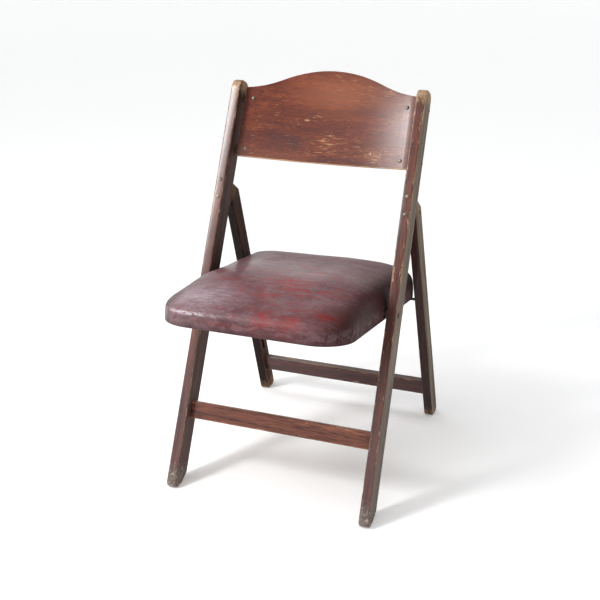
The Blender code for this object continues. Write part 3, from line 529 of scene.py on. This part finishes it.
def hem_point(x, y, width, rise):
    """A point of the hem, moved in under the rails; the hem narrows along the rear."""
    rearness = smooth(y, RAIL_REAR - 0.030, RAIL_REAR - 0.004)
    reach = width + (REAR_HEM_WIDTH / HEM_WIDTH - 1) * width * rearness
    if y < RAIL_FRONT + FRONT_RADIUS:
        middle = RAIL_HALF_WIDTH - FRONT_RADIUS
        target = Vector((clamp(x, -middle, middle), RAIL_FRONT + FRONT_RADIUS))
    elif y > RAIL_REAR - REAR_RADIUS:
        middle = RAIL_HALF_WIDTH - REAR_RADIUS
        target = Vector((clamp(x, -middle, middle), RAIL_REAR - REAR_RADIUS))
    else:
        target = Vector((0.0, y))
    inner = Vector((x, y))
    way = target - inner
    inner += way.normalized() * min(reach, way.length * 0.9)
    return inner.x, inner.y, HEM_OUTER + rise


def grid_rows(ring, vertices):
    """Rows of vertex numbers of a grid that fills a ring, front to rear. It adds the inner vertices."""
    along = ARC_FRONT // 2 + EDGE_SIDE + ARC_REAR // 2
    across = ARC_REAR + EDGE_REAR
    right = ring[:along + 1]
    rear = ring[along:along + across + 1][::-1]
    left = ring[along + across:2 * along + across + 1][::-1]
    front = ring[2 * along + across:] + ring[:1]

    def at(number):
        return np.array(vertices[number])

    rows = [front]
    for j in range(1, along):
        row = [left[j]]
        v = j / along
        for i in range(1, across):
            u = i / across
            point = ((1 - u) * at(left[j]) + u * at(right[j]) + (1 - v) * at(front[i]) + v * at(rear[i])
                     - (1 - u) * (1 - v) * at(left[0]) - u * (1 - v) * at(right[0])
                     - (1 - u) * v * at(left[-1]) - u * v * at(right[-1]))
            row.append(len(vertices))
            vertices.append(tuple(point))
        rows.append(row + [right[j]])
    return rows + [rear]


def even_grid(mesh, ring_vertices, outer_vertices):
    """Turns the faces outwards, evens out the grid's skewed corners and blends it into the last rings.

    ring_vertices counts all the rings' vertices and outer_vertices those of all but the last two rings.
    """
    made = bmesh.new()
    made.from_mesh(mesh)
    bmesh.ops.recalc_face_normals(made, faces=made.faces)
    made.normal_update()
    if max(made.faces, key=lambda f: f.calc_center_median().z).normal.z < 0:
        bmesh.ops.reverse_faces(made, faces=made.faces)
    inner = [v for v in made.verts if v.index >= ring_vertices]
    for _ in range(GRID_ROUNDS):
        bmesh.ops.smooth_vert(made, verts=inner, factor=0.5,
                              use_axis_x=True, use_axis_y=True, use_axis_z=False)
    full, front = PROFILE[-1][1] + CROWN_RISE[0], PROFILE[-1][2] + CROWN_RISE[1]
    for v in inner:
        v.co.z = cover_height(v.co.y, full, front)
    top = [v for v in made.verts if v.index >= outer_vertices]
    for _ in range(BLEND_ROUNDS):
        bmesh.ops.smooth_vert(made, verts=top, factor=0.5,
                              use_axis_x=False, use_axis_y=False, use_axis_z=True)
    made.to_mesh(mesh)
    made.free()


def cover_mesh():
    """The cover's outer face as rings of equal counts, with a grid across the last one.

    Returns the object and the rings' vertex numbers, from the hem's free edge inwards.
    """
    base = outline(-COVER_OUTSET)
    rings = [[hem_point(x, y, width, rise) for x, y in base] for width, rise in HEM_RINGS]
    rings += [[(x, y, z) for x, y in base] for z in BAND_RINGS]
    for inset, full, front in PROFILE:
        around = outline(inset - COVER_OUTSET + 0.0004)
        rings.append([(x, y, cover_height(y, full, front)) for x, y in around])
    count = len(base)
    vertices = [point for ring in rings for point in ring]
    numbers = [[r * count + i for i in range(count)] for r in range(len(rings))]
    rows = grid_rows(numbers[-1], vertices)
    faces = []
    for lower, upper in zip(numbers, numbers[1:]):
        for i in range(count):
            k = (i + 1) % count
            faces.append((lower[i], lower[k], upper[k], upper[i]))
    for near, far in zip(rows, rows[1:]):
        for i in range(len(near) - 1):
            faces.append((near[i], near[i + 1], far[i + 1], far[i]))
    mesh = bpy.data.meshes.new("seat_cover")
    mesh.from_pydata(vertices, [], faces)
    mesh.validate()
    even_grid(mesh, count * len(rings), count * (len(rings) - 2))
    cover = bpy.data.objects.new("seat_cover", mesh)
    scene.collection.objects.link(cover)
    return cover, numbers


def depth_inside(points):
    """How far each point of the top is from the nearest side of the seat, and none for points lower down."""
    inset = np.minimum(RAIL_HALF_WIDTH - np.abs(points[:, 0]),
                       np.minimum(points[:, 1] - RAIL_FRONT, RAIL_REAR - points[:, 1]))
    return np.where(points[:, 2] > DECK_TOP, inset, 0.0)


def evened(values, edges, free, rounds):
    """Values at the vertices, averaged with their neighbours' where free is one."""
    neighbours = np.bincount(edges.ravel(), minlength=len(values))[:, None]
    share = 0.5 * free[:, None]
    for _ in range(rounds):
        total = np.zeros_like(values)
        np.add.at(total, edges[:, 0], values[edges[:, 1]])
        np.add.at(total, edges[:, 1], values[edges[:, 0]])
        values = values * (1 - share) + share * total / neighbours
    return values


def simulated(cover):
    """Where the cover's points come to under the padding's pressure, with the held group kept in place."""
    modifier = cover.modifiers.new("padding", "CLOTH")
    settings = modifier.settings
    settings.quality = 6
    settings.mass = 0.25
    settings.tension_stiffness = settings.compression_stiffness = 18.0
    settings.shear_stiffness = 8.0
    settings.bending_stiffness = 1.5
    settings.use_pressure = True
    settings.uniform_pressure_force = PUFF_PRESSURE
    settings.vertex_group_mass = "held"
    settings.effector_weights.gravity = 0.0
    modifier.collision_settings.use_collision = False
    modifier.point_cache.frame_start, modifier.point_cache.frame_end = 1, PUFF_FRAMES
    for step in range(1, PUFF_FRAMES + 1):
        scene.frame_set(step)
    graph = bpy.context.evaluated_depsgraph_get()
    after = np.array([v.co for v in cover.evaluated_get(graph).data.vertices])
    cover.modifiers.remove(modifier)
    scene.frame_set(1)
    return after


def puff(cover, numbers):
    """Swells the cover by a cloth simulation, with the hem and the tacked band held."""
    held = cover.vertex_groups.new(name="held")
    held_rings = len(HEM_RINGS) + len(BAND_RINGS)
    for r, ring in enumerate(numbers):
        weight = 1.0 if r < held_rings else max(0.0, 1 - (r - held_rings) / 3.0)
        if weight:
            held.add(ring, weight, "REPLACE")
    before = np.array([v.co for v in cover.data.vertices])
    move = simulated(cover) - before
    size = np.linalg.norm(move, axis=1)
    move *= (COVER_MOST_MOVE * np.tanh(size / COVER_MOST_MOVE) / np.maximum(size, 1e-9))[:, None]
    edges = np.array([edge.vertices[:] for edge in cover.data.edges])
    loose = np.ones(len(before))
    for vertex in cover.data.vertices:
        for group in vertex.groups:
            loose[vertex.index] = 1 - group.weight
    move = evened(move, edges, loose, MOVE_ROUNDS)
    # The seat's middle has sunk to where it was, so only the swelling nearer the edges stays.
    sunk = np.array([0.45 + 0.55 * smooth(abs(x), 0.02, 0.17) for x in before[:, 0]])
    after = before + move * sunk[:, None]
    on_top = np.array([smooth(inset, 0.012, 0.045) for inset in depth_inside(before)])
    for vertex, place in zip(cover.data.vertices, evened(after, edges, on_top, TOP_ROUNDS)):
        vertex.co = place


def hump(x, y, centre, reach):
    return math.exp(-(((x - centre[0]) / reach[0]) ** 2 + ((y - centre[1]) / reach[1]) ** 2))


def wrinkle(x, y, z):
    """How far a point of the cover moves along its normal."""
    # Broad unevenness, slack ripples, a dent and the sat-in hollow on the top.
    move = 0.0011 * noise.noise(Vector((x * 13.0, y * 13.0, 3.0)))
    move += 0.0006 * noise.noise(Vector((x * 26.0 + 5.0, y * 48.0, 9.0)))
    move += 0.00025 * noise.noise(Vector((x * 70.0, y * 90.0, 1.0)))
    move -= 0.0014 * hump(x, y, (0.050, -0.035), (0.030, 0.024))
    move -= 0.0016 * hump(x, y, (0.0, -0.02), (0.10, 0.11))
    move *= smooth(z, 0.012, 0.026)
    # Pulls between the tacks along the side band.
    band = smooth(z, RAIL_BOTTOM, -0.004) * (1 - smooth(z, 0.012, 0.024))
    pull = math.sin(math.atan2(y, x) * 46.0) + noise.noise(Vector((x * 60.0, y * 60.0, 2.0)))
    move += 0.00035 * band * pull
    # Puckers fan out round the front corners.
    corner = smooth(abs(x), RAIL_HALF_WIDTH - FRONT_RADIUS, RAIL_HALF_WIDTH - 0.02)
    corner *= 1 - smooth(y, RAIL_FRONT + 0.02, RAIL_FRONT + FRONT_RADIUS + 0.01)
    corner *= smooth(z, RAIL_BOTTOM, 0.0) * (1 - smooth(z, 0.018, 0.034))
    angle = math.atan2(y - RAIL_FRONT - FRONT_RADIUS, abs(x) - RAIL_HALF_WIDTH + FRONT_RADIUS)
    pucker = math.sin(angle * 21.0 + 2.0 * noise.noise(Vector((x * 30.0, y * 30.0, 6.0))))
    return move + 0.0005 * corner * pucker


def shape_cover(cover):
    """Wrinkles, the uneven crown, drawn-in edges, and the limits set by the neighbouring pieces."""
    mesh = cover.data
    normals = [v.normal.copy() for v in mesh.vertices]
    for vertex, normal in zip(mesh.vertices, normals):
        x, y, z = vertex.co
        vertex.co += normal * wrinkle(x, y, z)
        # The padding has been pushed back, and stands highest right of the middle near the rear edge.
        swell = math.exp(-(((x - 0.065) / 0.11) ** 2))
        rear = smooth(y, 0.0, 0.17) * (1 - smooth(x, 0.13, 0.185)) * smooth(z, 0.012, 0.045)
        vertex.co.z += (0.0028 + 0.0030 * swell) * rear
        # The sides and the front pull in between the corners, above the rails.
        above = smooth(z, 0.012, 0.020)
        middle = math.cos(min(abs(y + 0.02) / 0.22, 1.0) * math.pi / 2)
        vertex.co.x -= math.copysign(0.0030 * middle * smooth(abs(x), 0.150, 0.192) * above, x)
        middle = math.cos(min(abs(x) / 0.15, 1.0) * math.pi / 2)
        edge = 1 - smooth(y, RAIL_FRONT + 0.004, RAIL_FRONT + 0.04)
        vertex.co.y += 0.0020 * middle * edge * above
        vertex.co.x = clamp(vertex.co.x, -COVER_HALF_WIDTH, COVER_HALF_WIDTH)
        vertex.co.y = clamp(vertex.co.y, COVER_FRONT, COVER_REAR)
        if vertex.co.z < HEM_FLOOR:
            vertex.co.z = HEM_OUTER


def apply_modifiers(obj):
    graph = bpy.context.evaluated_depsgraph_get()
    final = bpy.data.meshes.new_from_object(obj.evaluated_get(graph))
    old = obj.data
    obj.modifiers.clear()
    obj.data = final
    bpy.data.meshes.remove(old)
    final.name = obj.name


def smooth_shade(mesh):
    mesh.polygons.foreach_set("use_smooth", [True] * len(mesh.polygons))


def to_frame(axes):
    place, turn = axes
    return Matrix.Translation(place) @ Matrix.Rotation(turn, 4, "X")


def build_cover():
    cover, numbers = cover_mesh()
    puff(cover, numbers)
    shape_cover(cover)
    divide = cover.modifiers.new("divide", "SUBSURF")
    divide.levels = divide.render_levels = 1
    cloth = cover.modifiers.new("cloth", "SOLIDIFY")
    cloth.thickness = COVER_CLOTH
    cloth.offset = -1.0
    cloth.use_even_offset = True
    apply_modifiers(cover)
    smooth_shade(cover.data)
    cover.data.transform(to_frame(SEAT_AXES))
    cover.data.update()
    return cover


# ---------------------------------------------------------------------------------------------- tacks
TACK_HEAD, TACK_DOME, TACK_SPACING = 0.0034, 0.0012, 0.026
TACK_FROM_EDGE = 0.0135
TACK_CORNER = 0.012  # radius of the tacks' line at the rear corners
TACK_STEPS, TACK_SIDES = 5, 14
TACK_WOBBLE = 0.0012
TACK_SEED = 7  # without one, the vector noise differs from run to run
REAR_WITHOUT_TACKS = 0.055


def add_tack(made, x, y):
    """A dome with its flat face against the hem."""
    top = HEM_OUTER - 0.0001
    turns = [2 * math.pi * s / TACK_SIDES for s in range(TACK_SIDES)]
    rings = []
    for i in range(TACK_STEPS):
        angle = math.pi / 2 * i / TACK_STEPS
        radius, z = TACK_HEAD * math.cos(angle), top - TACK_DOME * math.sin(angle)
        rings.append([made.verts.new((x + radius * math.cos(a), y + radius * math.sin(a), z)) for a in turns])
    apex = made.verts.new((x, y, top - TACK_DOME))
    for s in range(TACK_SIDES):
        t = (s + 1) % TACK_SIDES
        for lower, upper in zip(rings, rings[1:]):
            made.faces.new((lower[s], lower[t], upper[t], upper[s]))
        made.faces.new((rings[-1][s], rings[-1][t], apex))
    made.faces.new(rings[0])


def build_tacks():
    """Domed upholstery tacks along the hem, under the front and side rails."""
    path = outline(TACK_FROM_EDGE, FRONT_RADIUS - TACK_FROM_EDGE, TACK_CORNER)
    path = [Vector((x, y)) for x, y in path if y < RAIL_REAR - REAR_WITHOUT_TACKS]
    # The line starts after its gap along the rear.
    start = max(range(len(path)), key=lambda i: (path[i] - path[i - 1]).length)
    path = path[start:] + path[:start]
    noise.seed_set(TACK_SEED)
    made = bmesh.new()
    since = TACK_SPACING / 2
    count = 0
    for a, b in zip(path, path[1:]):
        since += (b - a).length
        if since >= TACK_SPACING:
            since = 0.0
            count += 1
            wobble = noise.noise_vector(Vector((count * 3.7, 1.0, 2.0))) * TACK_WOBBLE
            add_tack(made, b.x + wobble.x, b.y + wobble.y)
    bmesh.ops.recalc_face_normals(made, faces=made.faces)
    mesh = bpy.data.meshes.new("cover_tacks")
    made.to_mesh(mesh)
    made.free()
    smooth_shade(mesh)
    mesh.transform(to_frame(SEAT_AXES))
    tacks = bpy.data.objects.new("cover_tacks", mesh)
    scene.collection.objects.link(tacks)
    return tacks


# ---------------------------------------------------------------------------------------------- assembly
SIDES = ("left", "right")
NO_ENDS = (-1.0, 1.0)  # for a piece whose ends are let into others
SHARP_ANGLE = 34.0
JOINING_DISTANCE = 0.00001
GRAIN_SHIFT = {"left": (3.1, 0.0, 1.2), "right": (8.4, 2.0, 5.0)}
# The right leg's tones are darker than the left's as painted shade on its front face.
LEG_STAIN_AND_SHADE = {"left": (srgb(28, 18, 18), srgb(46, 28, 26), srgb(62, 38, 33)),
             "right": (srgb(16, 9, 8), srgb(28, 15, 13), srgb(42, 22, 18))}
LEG_SHINE = {"left": 0.38, "right": 0.06}
FRONT_STRETCHER_STAIN = (srgb(84, 46, 36), srgb(116, 66, 50), srgb(140, 84, 62))
REAR_STRETCHER_STAIN = (srgb(50, 24, 22), srgb(74, 36, 32), srgb(92, 46, 38))


def dress(names, material):
    for name in names:
        mesh = nodes[name].data
        mesh.materials.clear()
        mesh.materials.append(material)
        nodes[name].active_material = material


def smooth_shading():
    """A modifier's node group: joins the faces' corners, and shades smoothly across all but sharp edges."""
    group = bpy.data.node_groups.new("smooth_shading", "GeometryNodeTree")
    for end_of in ("INPUT", "OUTPUT"):
        group.interface.new_socket("Geometry", in_out=end_of, socket_type="NodeSocketGeometry")
    start, end = group.nodes.new("NodeGroupInput"), group.nodes.new("NodeGroupOutput")
    merge = group.nodes.new("GeometryNodeMergeByDistance")
    merge.inputs["Distance"].default_value = JOINING_DISTANCE
    angle = group.nodes.new("GeometryNodeInputMeshEdgeAngle")
    sharper = group.nodes.new("FunctionNodeCompare")
    sharper.operation = "GREATER_THAN"
    sharper.inputs[1].default_value = math.radians(SHARP_ANGLE)
    normals = group.nodes.new("GeometryNodeSetMeshNormal")
    normals.mode = "SHARPNESS"
    link = group.links.new
    link(start.outputs[0], merge.inputs["Geometry"])
    link(merge.outputs[0], normals.inputs["Mesh"])
    link(angle.outputs["Unsigned Angle"], sharper.inputs[0])
    link(sharper.outputs[0], normals.inputs["Edge Sharpness"])
    link(normals.outputs[0], end.inputs[0])
    return group


def shade_smoothly():
    group = smooth_shading()
    for node in nodes.values():
        node.modifiers.new("smooth", "NODES").node_group = group
        node.modifiers.new("weighted", "WEIGHTED_NORMAL").keep_sharp = True


def extents(name, axes):
    """The node's lowest and highest place along each local axis, with X measured from the chair's middle."""
    back = to_frame(axes).inverted()
    points = np.array([back @ v.co for v in nodes[name].data.vertices])
    points[:, 0] = np.abs(points[:, 0])
    return [(float(low), float(high)) for low, high in zip(points.min(0), points.max(0))]


def dress_timber():
    for side in SIDES:
        shift = GRAIN_SHIFT[side]
        across, depth, length = extents(side + "_post", POST_AXES)
        dress([side + "_post"],
              timber(side + "_post_timber", POST_AXES, (across, depth), length, shift=shift))
        across, depth, length = extents(side + "_rear_leg", LEG_AXES)
        dress([side + "_rear_leg"],
              timber(side + "_leg_timber", LEG_AXES, (across, depth), length, shift=shift, wear=0.35,
                     tones=LEG_STAIN_AND_SHADE[side], shine=LEG_SHINE[side], specular=0.06))
    _, depth, height = extents("front_stretcher", POST_AXES)
    dress(["front_stretcher"],
          timber("front_stretcher_timber", POST_AXES, (height, depth), NO_ENDS, along_x=True, wear=0.8,
                 tones=FRONT_STRETCHER_STAIN))
    _, depth, height = extents("rear_stretcher", LEG_AXES)
    dress(["rear_stretcher"],
          timber("rear_stretcher_timber", LEG_AXES, (height, depth), NO_ENDS, along_x=True,
                 shift=(2.0, 7.0, 1.0), wear=0.9, tones=REAR_STRETCHER_STAIN))
    dress(["back_panel"], panel_plywood())
    dress(["seat_front_rail", "seat_rear_rail", "left_seat_rail", "right_seat_rail", "seat_deck"],
          plain_timber())


def dress_steel():
    """Steel by each node's packed slot. Returns the blackened one, which the tacks share."""
    dull = steel("dull_steel_look", srgb(150, 138, 122), srgb(104, 92, 80), srgb(88, 62, 46), 0.34,
                 (0.0, 0.0, 0.0))
    black = steel("blackened_steel_look", srgb(70, 60, 54), srgb(44, 36, 32), srgb(70, 46, 34), 0.42,
                  (3.0, 1.0, 2.0))
    tarnished = steel("tarnished_steel_look", srgb(92, 82, 72), srgb(60, 52, 46), srgb(74, 50, 38), 0.45,
                      (5.0, 2.0, 7.0))
    by_slot = {"dull_steel": dull, "blackened_steel": black}
    for name, node in nodes.items():
        packed = node.active_material.name.split(".")[0] if node.active_material else ""
        if packed in by_slot:
            dress([name], by_slot[packed])
    fittings = [side + part for side in SIDES for part in ("_pivot_spacer", "_rod_clip")]
    dress(["rear_rod"] + fittings, tarnished)
    return black


dress_timber()
black_steel = dress_steel()
shade_smoothly()

cover = build_cover()
cover.data.materials.clear()
cover.data.materials.append(leathercloth())
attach(cover, "seat")
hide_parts("seat_cushion")

tacks = build_tacks()
tacks.data.materials.append(black_steel)
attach(tacks, "seat")


# ---------------------------------------------------------------------------------------------- studio
AIM = Vector((0.0, 0.0, 0.45))  # what the lights point at
FLOOR_SIDES = 64
# Radius and height of the floor's rings; the outer ones curve up into a backdrop.
FLOOR_RINGS = ((3.0, 0.0), (9.0, 0.0), (13.0, 0.15), (16.0, 0.9), (18.0, 2.6), (19.0, 5.5), (19.4, 10.0))


def floor_material():
    tree = Tree("studio_floor")
    place = tree.add("TexCoord").outputs["Object"]
    grain = tree.noise(tree.scaled(place, (40.0, 40.0, 40.0)), 1.0, 3.0, 0.5)
    colour = tree.ramp(grain, [(0.3, (0.93, 0.93, 0.93)), (0.7, (0.95, 0.95, 0.95))])
    return tree.surface(colour, tree.plus(0.85, tree.times(grain, 0.1)), Specular_IOR_Level=0.1,
                        Emission_Color=(1.0, 1.0, 1.0, 1.0), Emission_Strength=0.16)


def build_floor():
    """A broad floor that curves up into a backdrop all round, far from the object."""
    made = bmesh.new()
    turns = [2 * math.pi * s / FLOOR_SIDES for s in range(FLOOR_SIDES)]
    centre = made.verts.new((0.0, 0.0, 0.0))
    loops = [[made.verts.new((r * math.cos(a), r * math.sin(a), z)) for a in turns] for r, z in FLOOR_RINGS]
    for s in range(FLOOR_SIDES):
        made.faces.new((centre, loops[0][s], loops[0][(s + 1) % FLOOR_SIDES]))
    for lower, upper in zip(loops, loops[1:]):
        for s in range(FLOOR_SIDES):
            t = (s + 1) % FLOOR_SIDES
            made.faces.new((lower[s], upper[s], upper[t], lower[t]))
    mesh = bpy.data.meshes.new("studio_floor")
    made.to_mesh(mesh)
    made.free()
    smooth_shade(mesh)
    mesh.materials.append(floor_material())
    floor = bpy.data.objects.new("studio_floor", mesh)
    scene.collection.objects.link(floor)


def direction(azimuth, elevation):
    """A unit vector from angles in degrees. Azimuth is from the front (-Y), positive towards +X."""
    a, e = math.radians(azimuth), math.radians(elevation)
    return Vector((math.sin(a) * math.cos(e), -math.cos(a) * math.cos(e), math.sin(e)))


def area_light(name, azimuth, elevation, distance, width, height, power):
    data = bpy.data.lights.new(name, "AREA")
    data.shape = "RECTANGLE"
    data.size, data.size_y = width, height
    data.energy = power
    light = bpy.data.objects.new(name, data)
    light.location = AIM + direction(azimuth, elevation) * distance
    light.rotation_euler = (AIM - light.location).to_track_quat("-Z", "Y").to_euler()
    scene.collection.objects.link(light)


def sun_light(name, azimuth, elevation, strength, angle):
    """A sun whose disc is angle degrees across, which softens its shadows."""
    data = bpy.data.lights.new(name, "SUN")
    data.energy, data.angle = strength, math.radians(angle)
    light = bpy.data.objects.new(name, data)
    light.rotation_euler = (-direction(azimuth, elevation)).to_track_quat("-Z", "Y").to_euler()
    scene.collection.objects.link(light)


def build_world():
    world = bpy.data.worlds.new("studio")
    world.use_nodes = True
    background = world.node_tree.nodes["Background"]
    background.inputs["Color"].default_value = (0.96, 0.98, 1.0, 1.0)
    background.inputs["Strength"].default_value = 0.26
    scene.world = world


def build_camera():
    """The camera, from its place, its turn and its focal length for a square picture."""
    yaw, pitch, roll = math.radians(21.76), math.radians(-15.21), math.radians(-0.80)
    ahead = Vector((-math.sin(yaw) * math.cos(pitch), math.cos(yaw) * math.cos(pitch), math.sin(pitch)))
    level = Vector((math.cos(yaw), math.sin(yaw), 0.0))
    upright = level.cross(ahead)
    right = math.cos(roll) * level + math.sin(roll) * upright
    up = -math.sin(roll) * level + math.cos(roll) * upright
    data = bpy.data.cameras.new("camera")
    data.sensor_width, data.lens = 36.0, 63.70
    data.shift_x, data.shift_y = 0.0075, -0.1978
    camera = bpy.data.objects.new("camera", data)
    placed = Matrix((right, up, -ahead)).transposed().to_4x4()
    placed.translation = Vector((0.7854, -2.0019, 1.2212))
    camera.matrix_world = placed
    scene.collection.objects.link(camera)
    scene.camera = camera


build_floor()
build_world()
build_camera()
sun_light("soft_sun", -60.0, 76.0, 1.45, 60.0)
area_light("window", -54.5, 34.0, 2.6, 0.95, 1.35, 11.0)
area_light("window_edge", -42.2, 34.0, 2.6, 0.36, 0.95, 42.0)
area_light("small_window", -18.0, 36.0, 3.0, 0.34, 0.22, 1.4)
scene.view_settings.view_transform = "Standard"
scene.view_settings.look = "None"
